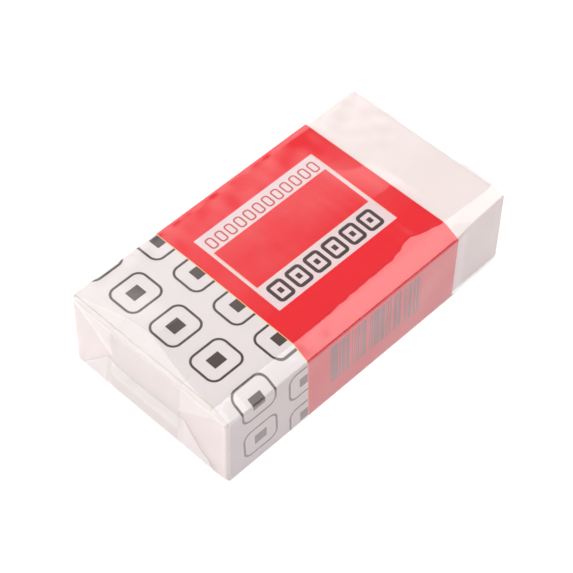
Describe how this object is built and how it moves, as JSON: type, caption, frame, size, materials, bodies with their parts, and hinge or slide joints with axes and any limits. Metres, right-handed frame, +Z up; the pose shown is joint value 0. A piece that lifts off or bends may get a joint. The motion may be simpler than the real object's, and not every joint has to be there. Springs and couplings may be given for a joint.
{
  "type": "wrapped rubber eraser",
  "caption": "Rectangular white rubber eraser block in a folded card sleeve that leaves one end bare, overwrapped in clear film with envelope-folded ends.",
  "frame": {"origin": "middle of the underside, at the centre of the outer size", "axes": "+X along the length towards the bare end, +Y across the width, +Z up through the thickness"},
  "size_m": [0.0624, 0.032, 0.0153],
  "materials": {
    "vinyl": "white vinyl rubber, cut and lightly dusted, dull",
    "printed_card": "thin white card, printed red band and dark pattern",
    "clear_film": "clear heat-sealed overwrap film, glossy and slightly rippled"
  },
  "bodies": {
    "root": {"eraser_block": "vinyl", "card_sleeve": "printed_card", "film_overwrap": "clear_film"}
  },
  "joints": []
}
